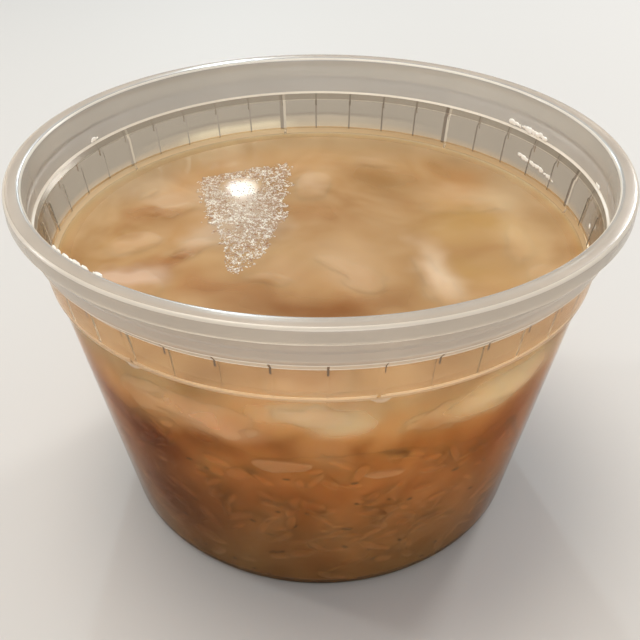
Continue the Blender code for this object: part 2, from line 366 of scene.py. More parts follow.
def mottle(tree, scale, detail=2.0, **more):
    """Soft noise over the surface, 0 to 1, with so many waves a metre."""
    inputs = {"Vector": place_in(tree), "Scale": scale, "Detail": detail, **more}
    return add(tree, "TexNoise", inputs).outputs["Fac"]


def between(tree, value, start, end, low=0.0, high=1.0, **settings):
    """Goes from low to high, and no further, as a value goes from start to end."""
    inputs = {"Value": value, "From Min": start, "From Max": end, "To Min": low,
              "To Max": high}
    return add(tree, "MapRange", inputs, **settings).outputs[0]


def blended(tree, share, below, above, mode="MIX"):
    """Mixes a colour over another, each a socket, a screen colour or four linear parts."""
    below, above = [colour if isinstance(colour, bpy.types.NodeSocket) or len(colour) == 4
                    else paint(*colour) for colour in (below, above)]
    return add(tree, "Mix", {0: share, 6: below, 7: above}, data_type="RGBA",
               blend_type=mode).outputs[2]


def new_group(name, inputs, outputs):
    """A node group with sockets of these names and kinds, and what it is given."""
    group = bpy.data.node_groups.new(name, "ShaderNodeTree")
    for way, sockets in (("INPUT", inputs), ("OUTPUT", outputs)):
        for label, kind in sockets.items():
            group.interface.new_socket(label, in_out=way, socket_type="NodeSocket" + kind)
    return group, group.nodes.new("NodeGroupInput").outputs


def put_out(group, outputs):
    wired(group, group.nodes.new("NodeGroupOutput"), outputs)
    return group


def placed(tree, group, inputs):
    """Outputs of a node group placed in a material with its own values."""
    return add(tree, "Group", inputs, node_tree=group).outputs


def milky_group():
    """The plastic's faint unevenness, in its colour and in how rough it is."""
    group, given = new_group("milky_plastic",
                             {"Dull": "Color", "Bright": "Color", "Roughness": "Float"},
                             {"Color": "Color", "Roughness": "Float"})
    haze = mottle(group, 60.0)
    uneven = between(group, haze, 0.3, 0.7, 0.8, 1.2)
    return put_out(group, {"Color": blended(group, haze, given["Dull"], given["Bright"]),
                           "Roughness": times(group, uneven, given["Roughness"])})


# Dried broth has left a film on the back of the band, and one place of it is paler still.
FILM_TOP = 62.1
FILM_IN_Y = (30.0, 46.0)        # the film comes in between these places towards the back
FILM_IN_X = (30.0, 6.0)         # and between these from right to left
FILM_SHADE = (206, 190, 162)
FILM_LINE_SHADE = (126, 112, 96)
PALE_SPOT_PLACE = (-21.0, 48.5, 59.0)
PALE_SPOT_REACH = (16.0, 9.0)       # outer reach, and inner, where it covers
PALE_SPOT_SHADE = (252, 238, 200)
DAMP_TOP = SOUP_LEVEL + 3.6     # the wall is damp up to here, fully so 2.6 lower
DAMP_SHADE = (226, 200, 160)
DAMP_RIGHT_SHADE = (202, 172, 130)


def film_group():
    """The film on the back of the band, pale under a dark line, and the damp below it."""
    group, given = new_group("dried_film", {"Color": "Color"}, {"Color": "Color"})
    place = place_in(group)
    x, y, z = parts_of(group, place)
    height = maths(group, "MULTIPLY_ADD", mottle(group, 90.0, 3.0), 0.8 * MM, z)
    back = times(group, between(group, y, *metres(FILM_IN_Y)),
                 between(group, x, *metres(FILM_IN_X), 0.0, 0.5))
    off_line = maths(group, "SUBTRACT", height, (FILM_TOP + 0.4) * MM)
    off_line = maths(group, "ABSOLUTE", off_line)
    line = times(group, between(group, off_line, 0.6 * MM, 0.1 * MM), back)
    seen = blended(group, line, given["Color"], FILM_LINE_SHADE)
    film = between(group, height, (FILM_TOP + 0.3) * MM, (FILM_TOP - 0.4) * MM)
    seen = blended(group, times(group, film, back), seen, FILM_SHADE)
    away = vector_maths(group, "DISTANCE", place, metres(PALE_SPOT_PLACE))["Value"]
    pale_spot = times(group, between(group, away, *metres(PALE_SPOT_REACH)),
                  between(group, height, (FILM_TOP - 0.6) * MM, (FILM_TOP - 1.6) * MM))
    seen = blended(group, pale_spot, seen, PALE_SPOT_SHADE)
    damp = between(group, height, DAMP_TOP * MM, (DAMP_TOP - 2.6) * MM)
    wet = blended(group, between(group, x, -0.010, 0.025), DAMP_SHADE, DAMP_RIGHT_SHADE)
    return put_out(group, {"Color": blended(group, damp, seen, wet)})


milky = milky_group()
dried_film = film_group()


def plastic_finish(name, colour, through, roughness, gloss, ior=1.49):
    """Milky plastic that lets the light of the lamps through."""
    made, tree, shader = material(name, {
        "Roughness": roughness, "IOR": ior, "Transmission Weight": through,
        "Specular IOR Level": gloss})
    milk = placed(tree, milky, {
        "Dull": paint(*[0.97 * c for c in colour]), "Roughness": roughness,
        "Bright": paint(*[min(255.0, 1.03 * c) for c in colour])})
    wired(tree, shader, {"Base Color": milk["Color"], "Roughness": milk["Roughness"]})
    clear = add(tree, "BsdfTransparent", {"Color": (0.86, 0.85, 0.83, 1.0)})
    lamp_ray = add(tree, "LightPath", {}).outputs["Is Shadow Ray"]
    mixed = add(tree, "MixShader", {0: lamp_ray, 1: shader.outputs[0], 2: clear.outputs[0]})
    wired(tree, tree.nodes["Material Output"], {"Surface": mixed.outputs[0]})
    return made


def filmed(tree, shade):
    return placed(tree, dried_film, {"Color": paint(*shade)})["Color"]


def painted_rib_shade(tree, shade):
    """The ribs' painted shade: hardly darker than the band on the left, and full on the right.
    """
    x = parts_of(tree, place_in(tree))["X"]
    return blended(tree, between(tree, x, -0.030, 0.012), (146, 137, 126), shade)


def two_sided(made, front, behind):
    """Gives a plastic one colour on the face and another seen through the wall."""
    tree = made.node_tree
    turned_away = add(tree, "NewGeometry", {}).outputs["Backfacing"]
    wired(tree, tree.nodes["Principled BSDF"],
          {"Base Color": blended(tree, turned_away, front, behind)})
    return made


def outside_finish(name, front, behind, *plastic):
    """Outer plastic, with another colour where it is seen through the far wall."""
    return two_sided(plastic_finish(name, front, *plastic), front, behind)


def inside_finish(name, shade, dressed=None, through=0.85, behind=(238, 226, 206)):
    """Inner plastic with a painted shade of its own as seen from inside, and pale as seen
    through the wall.
    """
    made = plastic_finish(name, shade, through, 0.20, 0.35, 1.07)
    return two_sided(made, dressed(made.node_tree, shade) if dressed else shade, behind)


def wetted_finish():
    """The inner face under the broth, where the wet wall has no gloss of its own."""
    return material("wetted_plastic", {
        "Base Color": paint(180, 140, 100), "Roughness": 0.4, "IOR": 1.49, "Alpha": 0.02,
        "Specular IOR Level": 0.0})[0]


# The band's inside is painted grey as shade within the tub.
BAND_PAINTED_SHADE = (153, 145, 134)
TICK_HALF = 0.2                 # half the width of the dark tick, painted shade, where a rib shows outside
SMOOTH = 0.225                  # roughness of the outer plastic
TUB_FINISHES = {
    "rim": plastic_finish("rim_plastic", (206, 205, 201), 0.60, SMOOTH, 0.5),
    "skirt": plastic_finish("skirt_plastic", (211, 201, 188), 0.55, SMOOTH, 0.5),
    "outside": plastic_finish("band_outside", (238, 224, 204), 0.97, 0.20, 0.3, 1.12),
    "inside": inside_finish("band_inside", BAND_PAINTED_SHADE, filmed),
    "damp": inside_finish("damp_wall", BAND_PAINTED_SHADE, filmed, 0.15, (248, 234, 216)),
    "body": plastic_finish("body_plastic", (250, 247, 241), 1.0, 0.08, 0.1, 1.06),
    "wetted": wetted_finish(),
    # The ribs and their ends are painted dark as shade, and one side of each wide rib pale as
    # painted light.
    "rib": inside_finish("rib_painted_shade", (96, 84, 74), painted_rib_shade),
    "rib_light": inside_finish("rib_painted_light_side", (206, 196, 180)),
    "tick": outside_finish("rib_end_painted_shade", (110, 96, 84), (206, 194, 176), 0.6, SMOOTH, 0.35),
    # Rounded edges and ledges are painted pale as highlights.
    "edge": plastic_finish("edge_painted_highlight", (250, 244, 232), 0.25, 0.22, 0.5),
    "slope": outside_finish("slope_plastic", (246, 234, 216), (206, 196, 180), 0.50, SMOOTH,
                            0.5),
    "ledge": plastic_finish("ledge_painted_highlight", (240, 231, 216), 0.30, SMOOTH, 0.5),
    "shoulder": outside_finish("shoulder_plastic", (208, 176, 136), DAMP_SHADE, 0.30, SMOOTH,
                               0.5),
    "lug": outside_finish("lug_plastic", (242, 226, 202), DAMP_SHADE, 0.60, SMOOTH, 0.4, 1.3),
}


def tub_finish(middle):
    """Which of the tub's finishes a face takes, from its place."""
    radius = math.hypot(middle.x, middle.y)
    z = middle.z
    outside = radius > wall_radius(z) - WALL / 2.0
    away, wide = nearest_rib(middle)
    if outside:
        # A dark tick is painted as shade where a rib shows outside.
        if abs(away) < TICK_HALF and BAND_TOP - 1.5 < z < BAND_TOP + 1.1:
            return "tick"
        if wide and SHOULDER - 2.0 < z < SHOULDER and radius > body_radius(z) + 0.12:
            return "lug"
        if SHOULDER - 0.5 < z < SHOULDER + 0.4:
            return "shoulder"
        # Rounded edges at the ledge, the band's top, the skirt's foot and the rim's top are
        # painted pale as highlights.
        if abs(z - LEDGE) < 0.3 or abs(z - BAND_TOP) < 0.25:
            return "edge"
        if BAND_TOP < z < LEDGE:
            return "slope"
        if abs(z - SKIRT_FOOT) < 0.2 or (z > HEIGHT - 0.5 and radius > RIM_RADIUS - 0.4):
            return "ledge"
        if z >= LEDGE:
            return "skirt" if radius > RIM_RADIUS - 2.0 or z < HEIGHT - 1.0 else "rim"
        return "outside" if z > SHOULDER else "body" if z > 0.3 else "rim"
    # The inner ledge step and the rim's inner edge are painted pale as highlights too.
    if LEDGE + 0.1 < z < LEDGE + 0.5:
        return "ledge"
    if z > HEIGHT - 0.45 and radius < WALL_TOP_RADIUS - WALL + 0.35:
        return "edge"
    if z >= LEDGE or z < 0.3:
        return "rim"
    if z < SOUP_LEVEL + 0.1:
        return "wetted"
    # The ribs are painted dark as shade, and one side of each wide rib pale as painted light.
    half = RIB_WIDTHS[wide] / 2.0
    if wide and -half < away < -0.1:
        return "rib_light"
    if abs(away) < half and z > SHOULDER + RIB_END:
        return "rib"
    return "damp" if z < SHOULDER + 0.4 else "inside"


tub_points, tub_faces = turned(tub_outline(), tub_columns(), mould_details)
finish_names = list(TUB_FINISHES)
tub = mesh_object("tub_moulding", tub_points, tub_faces, TUB_FINISHES["rim"],
                  "clear_plastic")
for name in finish_names[1:]:
    tub.data.materials.append(TUB_FINISHES[name])
for face in tub.data.polygons:
    face.material_index = finish_names.index(tub_finish(face.center / MM))
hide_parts("tub")


# ---- Broth -----------------------------------------------------------------------
# Cloudy chicken broth up to the shoulder.  It wets the wall, so it reaches just into
# the plastic and climbs a little at its edge.  A thin clear layer shows what lies near
# the top and the wall, and the cloudy depth behind it hides the rest.
INTO_WALL = 0.2
SIDE_HAZE = 4.4             # the broth hides more through the wall than from above
EVEN_COLUMNS = [2.5 * i for i in range(144)]
# The broth's colour at shares of its height, browner and darker low down, partly as
# painted shade, and how it turns greyer at the back wall.
BROTH_AND_SHADE_STOPS = ((0.04, (124, 88, 52)), (0.30, (152, 102, 60)), (0.58, (184, 116, 63)),
               (0.74, (194, 125, 66)), (0.86, (220, 162, 101)), (0.98, (208, 170, 122)))
DRIFT = 16.0                # how far up and down its bands wander
WAVER = (16.0, 16.0, 10.0)  # and how far the edges of the shades below do
FAR_EDGE_SHADE = (188, 166, 130)
FAR_EDGE_RADII = (41.0, 51.0)   # it comes in between these distances from the axis,
FAR_EDGE_Y = (-10.0, 30.0)      # these places towards the back
FAR_EDGE_DEPTHS = (4.0, 0.5)    # and these depths
# Where the broth has another shade: place, reach along, across and up, heading in
# degrees, colour and strength.  Those on the surface have places in X and Y alone.
TOP_SHADES = (
    ((12.7, 28.0), (18, 11, 9), -20, (160, 116, 60), 0.60),     # olive, at the back
    ((31.0, 6.0), (17, 14, 9), 0, (208, 168, 94), 0.60),        # golden
    ((31.0, -14.0), (10, 11, 9), 0, (208, 168, 102), 0.60),
    ((40.0, 18.0), (13, 15, 9), 0, (230, 204, 164), 0.70),
    ((40.0, 1.0), (7, 16, 7), 0, (230, 198, 148), 0.70),        # over sunk meat
    ((22.5, -14.0), (17, 7, 7), -78, (250, 224, 190), 0.85),
    ((6.0, -12.5), (15, 8, 7), -44, (222, 188, 150), 0.55),
    ((-8.0, -14.5), (11, 5, 7), -20, (216, 178, 136), 0.45),
    ((-1.5, 25.0), (6, 10, 7), 0, (226, 196, 158), 0.60),
    ((-2.5, 9.6), (12, 9, 8), 0, (166, 116, 64), 0.55),         # brown hollows, and painted shade under the pale streaks
    ((-17.0, -20.0), (16, 9, 8), -30, (162, 100, 50), 0.55),
    ((0.0, -27.0), (27, 9, 8), 0, (144, 86, 38), 0.90),
    ((-35.0, 7.6), (11, 5, 7), 20, (172, 116, 66), 0.65),
    ((-30.0, -9.5), (13, 5.5, 7), 30, (158, 100, 52), 0.95),
    ((-25.0, -19.5), (9, 7, 7), 0, (166, 108, 58), 0.60),
    ((-37.5, -16.0), (10, 6.5, 7), 20, (226, 194, 164), 1.70),
    ((-38.5, -2.5), (12, 3.6, 7), 38, (218, 180, 132), 1.70),
    ((-32.3, 14.0), (10, 3.3, 7), 18, (220, 186, 145), 1.60),
    ((-24.0, -1.0), (10, 7, 7), 40, (220, 188, 150), 0.90),
    ((-40.0, 22.0), (17, 15, 8), 0, (216, 192, 160), 0.70),     # pale, near the wall
    ((0.0, 46.0), (32, 7, 8), 0, (200, 172, 130), 0.50),
    ((32.0, 18.0), (18, 7, 7), 5, (230, 200, 156), 0.60),
    ((14.0, 39.0), (11, 5, 7), 0, (206, 178, 142), 0.40),
    ((-17.0, 11.0), (13, 21, 7), 0, (236, 222, 202), 0.80),     # fine foam, partly painted sheen round the glare
)
SIDE_SHADES = (
    ((-30.0, -38.0, 38.0), (14, 14, 11), 0, (124, 56, 8), 1.00),     # dark: painted shadow under the meat at the wall, and painted shade on the left
    ((-17.0, -46.0, 40.5), (9, 8, 6), 0, (132, 72, 32), 0.75),
    ((33.0, -35.0, 36.0), (15, 15, 15), 0, (158, 82, 14), 0.85),
    ((-28.0, -38.0, 24.0), (20, 20, 20), 0, (94, 42, 8), 0.80),
    ((-5.5, -50.0, 44.5), (8, 7, 5), 0, (150, 84, 36), 0.70),
    ((9.0, -49.0, 44.0), (4, 6, 5), 10, (156, 92, 40), 0.70),
    ((3.5, -50.0, 43.0), (6, 7, 7), 0, (192, 136, 88), 0.60),
    ((-13.0, -48.5, 47.2), (9, 8, 3.2), -20, (204, 150, 106), 0.80),
    ((36.0, -35.0, 52.5), (10, 10, 5), 40, (240, 200, 150), 0.60),
    ((-3.0, -51.0, 54.0), (15, 8, 6), 0, (244, 214, 172), 0.75),      # over meat there
    ((4.0, -51.0, 51.0), (7, 8, 5), 0, (240, 214, 170), 0.80),
    ((20.0, -46.5, 48.5), (15, 8, 4.5), 20, (230, 186, 128), 0.75),
    ((32.0, -40.0, 50.0), (26, 10, 7), 40, (252, 222, 172), 0.90),
    ((-20.0, -46.5, 48.5), (18, 9, 7), -25, (238, 190, 142), 0.85),
    ((-16.0, -47.5, 46.3), (11, 8, 4.5), -20, (238, 180, 130), 0.90),
)

# Sunk meat near the wall at the sides and the back: angle, height, length and tallness.
WALL_MEAT = ((72.0, 50.5, 24, 8), (108.0, 47.0, 20, 9), (150.0, 51.0, 28, 8),
             (196.0, 48.0, 22, 9), (238.0, 51.5, 26, 7), (276.0, 47.5, 22, 9))


def round_place(angle, r, z):
    """The point at an angle from the front, a radius and a height."""
    turn = math.radians(angle)
    return r * math.sin(turn), -r * math.cos(turn), z


SHADES = [((x, y, SOUP_LEVEL), *rest) for (x, y), *rest in TOP_SHADES] + [*SIDE_SHADES]
SHADES += [(round_place(angle, 50.0, z), (0.8 * long, 9.0, 0.9 * tall), angle,
            (238, 202, 156), 1.15) for angle, z, long, tall in WALL_MEAT]
# Between this meat and the rice the broth is browner.
SHADES += [(round_place(angle, 48.0, 38.0), (22, 10, 12), angle, (158, 108, 70), 0.85)
           for angle in range(75, 290, 40)]


def inside_wall(reach, top):
    """Corners of the tub's inside from the base to a height, grown by a reach."""
    floor_top = BASE_RECESS + WALL - reach
    ring_top = WALL - reach
    return [(0.0, floor_top, 0), (FOOT_RING - 1.0, floor_top, 0.5),
            (FOOT_RING + 0.3, ring_top, 0.5),
            (body_radius(ring_top, WALL - reach), ring_top, FOOT_ROUNDING - WALL),
            (body_radius(top, WALL - reach), top, 0)]


def stirred(group, z):
    """Broth colour: browner towards the foot and darker there as painted shade, golden in
    places, and swirled.
    """
    drift = maths(group, "MULTIPLY_ADD", mottle(group, 42.0, Roughness=0.45), DRIFT * MM,
                  -0.5 * DRIFT * MM)
    level = between(group, maths(group, "ADD", z, drift), 0.0, SOUP_LEVEL * MM)
    ramp = add(group, "ValToRGB", {"Fac": level})
    elements = ramp.color_ramp.elements
    while len(elements) < len(BROTH_AND_SHADE_STOPS):
        elements.new(0.5)
    for element, (at, colour) in zip(elements, BROTH_AND_SHADE_STOPS):
        element.position = at
        element.color = paint(*colour)
    golden = between(group, mottle(group, 26.0, 1.0), 0.45, 0.62, 0.0, 0.5)
    tinted = blended(group, golden, ramp.outputs["Color"], (246, 236, 214), "MULTIPLY")
    swirl = between(group, mottle(group, 34.0, Roughness=0.45, Distortion=2.0), 0.3, 0.7)
    swirls = blended(group, swirl, (0.78, 0.70, 0.58, 1.0), (1.18, 1.26, 1.34, 1.0))
    return blended(group, 1.0, tinted, swirls, "MULTIPLY")


def shaded(group, place, colour):
    """Lays the broth's other shades over its colour, each with a wavy edge."""
    ripple = add(group, "TexNoise", {"Vector": place, "Scale": 75.0}).outputs["Color"]
    centred = vector_maths(group, "SUBTRACT", ripple, (0.5, 0.5, 0.5))["Vector"]
    drifted = vector_maths(group, "MULTIPLY_ADD", centred, metres(WAVER), place)
    for centre, reach, heading, shade, strength in SHADES:
        away = add(group, "Mapping", {
            "Vector": drifted["Vector"], "Location": metres(centre), "Scale": metres(reach),
            "Rotation": (0.0, 0.0, math.radians(heading))}, vector_type="TEXTURE")
        far = vector_maths(group, "LENGTH", away.outputs[0])["Value"]
        near = between(group, far, 1.0, 0.0, 0.0, strength, interpolation_type="SMOOTHSTEP")
        colour = blended(group, near, colour, shade)
    return colour


def open_normal(group, flat, side, down, haze):
    """A surface's normal, turned up or out as haze hides it: the way one looks in."""
    upward = between(group, maths(group, "SUBTRACT", side, down), -1.5 * MM, 1.5 * MM)
    outward = vector_maths(group, "NORMALIZE", flat)["Vector"]
    way = add(group, "Mix", {0: upward, 4: outward, 5: (0.0, 0.0, 1.0)}, data_type="VECTOR")
    own = add(group, "NewGeometry", {}).outputs["Normal"]
    flatter = maths(group, "MULTIPLY_ADD", haze, 1.5, 0.4, clamp=True)
    mixed = add(group, "Mix", {0: flatter, 4: own, 5: way.outputs[1]}, data_type="VECTOR")
    return vector_maths(group, "NORMALIZE", mixed.outputs[1])["Vector"]


def broth_group():
    """Colour of the cloudy broth, and the colour and normal of what is sunk in it."""
    group, given = new_group("cloudy_broth", {"Color": "Color", "Clear Depth": "Float"},
                             {"Broth": "Color", "Color": "Color", "Normal": "Vector"})
    place = place_in(group)
    x, y, z = parts_of(group, place)
    flat = add(group, "CombineXYZ", {"X": x, "Y": y}).outputs[0]
    radius = vector_maths(group, "LENGTH", flat)["Value"]

    wall = maths(group, "MULTIPLY_ADD", z, BODY_SLOPE, body_radius(0.0, WALL) * MM)
    side = maths(group, "SUBTRACT", wall, radius)
    down = maths(group, "SUBTRACT", SOUP_LEVEL * MM, z)
    depth = maths(group, "SMOOTH_MIN", times(group, side, SIDE_HAZE), down, 1.5 * MM)
    ratio = maths(group, "DIVIDE", depth, given["Clear Depth"])
    uneven = between(group, mottle(group, 150.0, 3.0), 0.3, 0.7, -0.55, -1.45)
    falling = maths(group, "EXPONENT", times(group, ratio, uneven))
    haze = maths(group, "SUBTRACT", 1.0, falling, clamp=True)

    broth = shaded(group, place, stirred(group, z))
    at_back = times(group, between(group, radius, *metres(FAR_EDGE_RADII)),
                    between(group, y, *metres(FAR_EDGE_Y)),
                    between(group, down, *metres(FAR_EDGE_DEPTHS), 0.0, 0.7))
    broth = blended(group, at_back, broth, FAR_EDGE_SHADE)
    return put_out(group, {"Broth": broth, "Color": blended(group, haze, given["Color"], broth),
                           "Normal": open_normal(group, flat, side, down, haze)})


cloudy = broth_group()


def broth_colour(tree):
    return placed(tree, cloudy, {})["Broth"]


def sink(tree, shader, colour, clear_depth, relief=None, strength=0.0, deep=0.0):
    """Makes a surface look as it does through the broth over it, with a fine relief."""
    seen = placed(tree, cloudy, {"Color": colour, "Clear Depth": clear_depth * MM})
    normal = seen["Normal"]
    if relief:
        bump = add(tree, "Bump", {"Height": relief, "Strength": strength,
                                  "Distance": deep * MM, "Normal": normal})
        normal = bump.outputs["Normal"]
    wired(tree, shader, {"Base Color": seen["Color"], "Normal": normal})


def soft(reach):
    """Shader inputs that let light spread a little inside broth, rice or meat."""
    return {"Subsurface Weight": 1.0, "Subsurface Radius": (1.0, 0.8, 0.6),
            "Subsurface Scale": reach * MM}


def broth_finish(name, veil, gloss):
    """Clear wet broth, hardly rippled, over what lies in it."""
    made, tree, shader = material(name, {
        "Roughness": 0.03, "IOR": 1.34, "Alpha": veil, "Specular IOR Level": gloss})
    swell = add(tree, "Bump", {"Height": mottle(tree, 60.0, 1.0), "Strength": 0.04,
                               "Distance": 1.0 * MM})
    wired(tree, shader, {"Base Color": broth_colour(tree),
                         "Normal": swell.outputs["Normal"]})
    return made


edge = WET_RADIUS + INTO_WALL
meniscus = [(edge, WET_TOP - 0.02, 0)]
for inward in (0.4, 0.7, 1.0, 1.4, 2.0, 3.0, 4.5):
    climbed = (WET_TOP - SOUP_LEVEL) * math.exp(-inward / 0.8)
    meniscus.append((edge - inward, SOUP_LEVEL + climbed, 0))
surface = [(r, SOUP_LEVEL, 0) for r in (44.0, 36.0, 28.0, 20.0, 12.0, 5.0, 0.0)]
broth_outline = rounded(inside_wall(INTO_WALL, SOUP_LEVEL) + meniscus + surface)
broth = mesh_object("broth_surface", *turned(broth_outline, EVEN_COLUMNS),
                    broth_finish("broth_surface", 0.56, 0.35), "broth")
broth.data.materials.append(broth_finish("broth_at_wall", 0.40, 0.0))
for face in broth.data.polygons:
    face.material_index = 1 if abs(face.center.z / MM - SOUP_LEVEL) > 0.012 else 0
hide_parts("broth")


# ---- Rice ------------------------------------------------------------------------
# Long rice that has swollen and gone soft in the broth and settled in the lower half.
# Whole grains lie against the wall and on top, over a packed core of rice and starch.
GRAIN = (8.2, 2.9, 2.4)     # length, width and thickness of a swollen grain
GRAIN_SPREAD = 0.22         # and how far it varies,
GRAIN_BEND = 0.10           # bends
GRAIN_SWELL = 0.30          # and swells, as shares
WALL_GRAINS = 1050
TOP_GRAINS = 260
GRAIN_SIDES = 10
GRAIN_RINGS = 7
CORE_INSET = 0.1
CORE_RELIEF = 0.25
CORE_VOXEL = 1.1
RICE_FOOT = 0.95        # the lowest grains lie on the inside of the foot here
WALL_DEPTHS = (0.9, 1.7)    # from the inside of the wall to the middle of a grain
LOWEST_GRAIN = 3.4
PRESSED = INTO_WALL - 0.05  # grains at the wall reach this far into it


def node_surface(node):
    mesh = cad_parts[node].data
    return BVHTree.FromPolygons([v.co.copy() for v in mesh.vertices],
                                [tuple(p.vertices) for p in mesh.polygons])


rice_surface = node_surface("rice_bed")


def rice_top(x, y):
    """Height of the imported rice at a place, in millimetres."""
    hit = rice_surface.ray_cast(Vector((x * MM, y * MM, 0.2)), Vector((0, 0, -1)))[0]
    return hit.z / MM if hit else 0.0


def ball(sides, rings):
    """Points on a unit ball, long way along X, and its faces."""
    points = [Vector((-1, 0, 0))]
    for ring in range(1, rings):
        polar = math.pi * ring / rings
        for side in range(sides):
            turn = 2.0 * math.pi * side / sides
            points.append(Vector((-math.cos(polar), math.sin(polar) * math.cos(turn),
                                  math.sin(polar) * math.sin(turn))))
    points.append(Vector((1, 0, 0)))
    last = len(points) - 1
    faces = []
    for side in range(sides):
        other = (side + 1) % sides
        faces.append((0, 1 + other, 1 + side))
        faces.append((last, last - sides + side, last - sides + other))
        for ring in range(rings - 2):
            low = 1 + ring * sides
            faces.append((low + side, low + other, low + sides + other,
                          low + sides + side))
    return points, faces


def joined(pieces):
    """Joins lists of points and faces into one list of each."""
    points, faces = [], []
    for piece_points, piece_faces in pieces:
        start = len(points)
        points += piece_points
        faces += [tuple(start + i for i in face) for face in piece_faces]
    return points, faces


grain_ball = ball(GRAIN_SIDES, GRAIN_RINGS)


def grain(place, draw):
    """One soft grain: blunt, a little bent, and uneven, laid by a matrix."""
    size = [s * draw.uniform(1.0 - GRAIN_SPREAD, 1.0 + GRAIN_SPREAD) / 2.0 for s in GRAIN]
    bend = draw.uniform(-GRAIN_BEND, GRAIN_BEND)
    seed = Vector((draw.uniform(0, 50), draw.uniform(0, 50), draw.uniform(0, 50)))
    points = []
    for spot in grain_ball[0]:
        along = math.copysign(abs(spot.x) ** 0.8, spot.x)
        swell = 1.0 + GRAIN_SWELL * noise.noise(spot * 1.6 + seed)
        shaped = Vector((along * size[0], spot.y * size[1] * swell,
                         spot.z * size[2] * swell))
        shaped.y += bend * size[0] * (1.0 - along * along)
        points.append(place @ shaped)
    return points, grain_ball[1]


def wall_frame(angle, z, depth):
    """Matrix with X along the wall, Y up it and Z out, at a depth inside it."""
    turn = Matrix.Rotation(math.radians(angle), 4, "Z")
    out = Matrix.Translation((0.0, -(body_radius(z, WALL) - depth), z))
    lean = math.atan(BODY_SLOPE)
    upright = Matrix.Rotation(math.radians(90.0) + lean, 4, "X")
    return turn @ out @ upright


def wall_grains(draw):
    for _ in range(WALL_GRAINS):
        angle = draw.uniform(0.0, 360.0)
        turn = math.radians(angle)
        near = body_radius(40.0, WALL + 3.0)
        top = rice_top(near * math.sin(turn), -near * math.cos(turn)) - 0.5
        z = LOWEST_GRAIN + (top - LOWEST_GRAIN) * draw.random() ** 0.85
        place = wall_frame(angle, z, draw.uniform(*WALL_DEPTHS))
        place = place @ Matrix.Rotation(draw.gauss(0.0, 0.7), 4, "Z")
        place = place @ Matrix.Rotation(draw.gauss(0.0, 0.12), 4, "Y")
        yield grain(place, draw)


def top_grains(draw):
    for _ in range(TOP_GRAINS):
        r = math.sqrt(draw.random()) * body_radius(42.0, WALL + 4.0)
        turn = draw.uniform(0.0, 2.0 * math.pi)
        x, y = r * math.sin(turn), -r * math.cos(turn)
        place = Matrix.Translation((x, y, rice_top(x, y) - 0.6))
        place = place @ Matrix.Rotation(draw.uniform(0.0, math.pi), 4, "Z")
        place = place @ Matrix.Rotation(draw.gauss(0.0, 0.25), 4, "Y")
        yield grain(place, draw)


def press_to_wall(point):
    """Keeps a point inside the tub's inner face plus a little."""
    z = max(point.z, RICE_FOOT)
    r = math.hypot(point.x, point.y)
    curve = FOOT_ROUNDING - WALL
    over = max(0.0, curve - (z - WALL))
    corner = curve - math.sqrt(max(0.0, curve ** 2 - over ** 2))
    limit = body_radius(z, WALL - PRESSED) - corner
    shrink = min(1.0, limit / r) if r else 1.0
    return Vector((point.x * shrink, point.y * shrink, z))


def pressed(pieces):
    """Joins pieces that lie at the wall and presses them back inside it."""
    points, faces = joined(pieces)
    return [press_to_wall(p) for p in points], faces


def rice_finish(name, paleness, clear_depth):
    """Starchy rice, stained by the broth around it."""
    made, tree, shader = material(name, {
        "Roughness": 0.42, "IOR": 1.4, "Specular IOR Level": 0.2, **soft(2.5)})
    patch = mottle(tree, 240.0, 3.0)
    starch = blended(tree, between(tree, patch, 0.3, 0.7, *paleness), broth_colour(tree),
                     (208, 170, 132))
    sink(tree, shader, starch, clear_depth, patch, 0.25, 0.4)
    return made


draw = random.Random(11)
grains = [*wall_grains(draw), *top_grains(draw)]
rice_grains = mesh_object("rice_grains", *pressed(grains),
                          rice_finish("rice_grain", (0.0, 0.15), 1.2), "rice")
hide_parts("rice_bed")

# Two clear grains lie flat on the wall in front, and small dark beads are set at the wall all
# round.
CLEAR_GRAINS = ((352.6, 40.1, 2), (13.6, 36.8, -4))     # angle, height and slope
FLECKS = 170
FLECK = (1.5, 0.55, 0.35)
FRONT_FLECKS = ((4.8, -46.0, 21.1), (-2.0, -47.1, 26.3), (-4.4, -46.2, 21.8),
                (-9.1, -43.8, 12.0), (0.5, -45.3, 14.9), (-17.0, -40.3, 5.9),
                (6.2, -48.2, 35.1), (16.5, -44.4, 27.3), (4.9, -45.0, 14.9))

draw = random.Random(23)
clear_grains = []
for angle, z, slope in CLEAR_GRAINS:
    place = wall_frame(angle, z, 0.7) @ Matrix.Rotation(math.radians(slope), 4, "Z")
    clear_grains.append(grain(place @ Matrix.Diagonal((1.12, 0.95, 0.9, 1.0)), draw))
mesh_object("rice_clear_grains", *pressed(clear_grains),
            rice_finish("rice_clear_grain", (0.45, 0.75), 1.6), "rice")

fleck_places = [(math.degrees(math.atan2(x, -y)), z) for x, y, z in FRONT_FLECKS]
while len(fleck_places) < FLECKS:
    fleck_places.append((draw.uniform(0.0, 360.0), 3.0 + 34.0 * draw.random() ** 1.3))


def bead(shape, place, sizes):
    """A copy of a unit ball, stretched to half sizes and laid by a matrix."""
    points = [place @ Vector([c * size for c, size in zip(spot, sizes)])
              for spot in shape[0]]
    return points, shape[1]


flecks = []
for angle, z in fleck_places:
    place = wall_frame(angle, z, 0.1) @ Matrix.Rotation(draw.gauss(0.0, 0.5), 4, "Z")
    flecks.append(bead(grain_ball, place, [f * draw.uniform(0.5, 1.3) / 2.0 for f in FLECK]))


def fleck_finish():
    made, tree, shader = material("dark_fleck", {"Roughness": 0.5, "IOR": 1.45})
    sink(tree, shader, blended(tree, mottle(tree, 500.0), (46, 28, 14), (88, 56, 28)), 3.5)
    return made


mesh_object("dark_flecks", *pressed(flecks), fleck_finish(), "broth")


